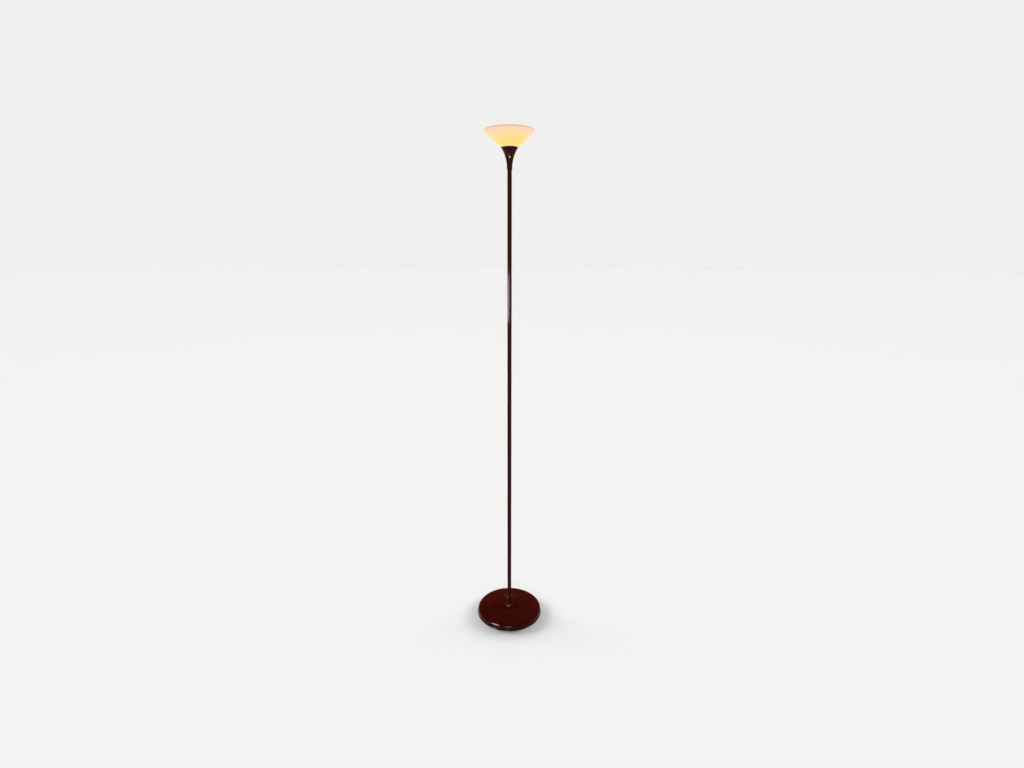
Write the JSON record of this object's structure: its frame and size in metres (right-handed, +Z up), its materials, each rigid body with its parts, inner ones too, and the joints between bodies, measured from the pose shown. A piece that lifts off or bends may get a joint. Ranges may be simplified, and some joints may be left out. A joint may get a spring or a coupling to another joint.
{
  "type": "uplight floor lamp",
  "caption": "Torchiere floor lamp: weighted round base, slim jointed pole, trumpet cup and an upward-facing conical frosted glass bowl held by a threaded clamp ring over a plug-in capsule lamp.",
  "frame": {"origin": "on the floor, under the pole's centre line", "axes": "+Z up the pole to the bowl; -Y is the front; +Y is the back, where the mains inlet is; +X is to the right"},
  "size_m": [0.254, 0.254, 1.8],
  "materials": {
    "brown_lacquer": "gloss",
    "frosted_glass": "satin frosted, lit",
    "iron": "as cast",
    "zinc_steel": "zinc plated",
    "plated_brass": "nickel-brass, satin",
    "felt": "felt",
    "black_rubber": "matte",
    "white_plastic": "moulded",
    "white_ceramic": "unglazed",
    "clear_glass": "clear",
    "bulb_wire": "drawn wire",
    "brown_insulation": "extruded",
    "blue_insulation": "extruded"
  },
  "bodies": {
    "root": {"base_collar": "brown_lacquer", "base_cover": "brown_lacquer", "base_nipple": "zinc_steel", "base_nut": "zinc_steel", "base_washer": "zinc_steel", "base_weight": "iron", "bottom_plate": "zinc_steel", "contact_clips": "plated_brass", "cord_gland": "black_rubber", "cup": "brown_lacquer", "cup_nut": "zinc_steel", "cup_washer": "zinc_steel", "felt_pad": "felt", "holder_ceramic": "white_ceramic", "holder_nut": "zinc_steel", "holder_ring": "zinc_steel", "holder_sleeve": "plated_brass", "lead_live": "brown_insulation", "lead_neutral": "blue_insulation", "lock_washer": "zinc_steel", "plate_screws": "zinc_steel", "pole_bush_1_lower": "zinc_steel", "pole_bush_1_upper": "zinc_steel", "pole_bush_2_lower": "zinc_steel", "pole_bush_2_upper": "zinc_steel", "pole_bush_3_lower": "zinc_steel", "pole_bush_3_upper": "zinc_steel", "pole_bush_4_lower": "zinc_steel", "pole_bush_4_upper": "zinc_steel", "pole_section_1": "brown_lacquer", "pole_section_2": "brown_lacquer", "pole_section_3": "brown_lacquer", "pole_section_4": "brown_lacquer", "pole_stud_1": "zinc_steel", "pole_stud_2": "zinc_steel", "pole_stud_3": "zinc_steel", "shade_gasket": "black_rubber", "terminal_block": "white_plastic", "terminal_screws": "plated_brass", "top_nipple": "zinc_steel"},
    "capsule_lamp": {"bulb_glass": "clear_glass", "bulb_pins": "bulb_wire", "bulb_filament": "bulb_wire"},
    "bowl": {"glass_bowl": "frosted_glass"},
    "slip_gasket": {"ring_gasket": "black_rubber"},
    "clamp_ring": {"shade_ring": "plated_brass"}
  },
  "joints": [
    {"name": "bulb_pull", "type": "slide", "parent": "root", "child": "capsule_lamp", "axis": [0, 0, 1], "range_m": [0, 0.055]},
    {"name": "bowl_lift", "type": "slide", "parent": "root", "child": "bowl", "axis": [0, 0, 1], "range_m": [0, 0.08]},
    {"name": "ring_rise", "type": "slide", "parent": "bowl", "child": "slip_gasket", "axis": [0, 0, 1], "range_m": [0, 0.0061]},
    {"name": "ring_turn", "type": "hinge", "parent": "slip_gasket", "child": "clamp_ring", "pos_m": [0, 0, 1.7548], "axis": [0, 0, 1], "range_deg": [0, 1440]}
  ],
  "couplings": [
    {"joint": "ring_rise", "follows": "ring_turn", "m_per_rad": 0.00023873}
  ]
}
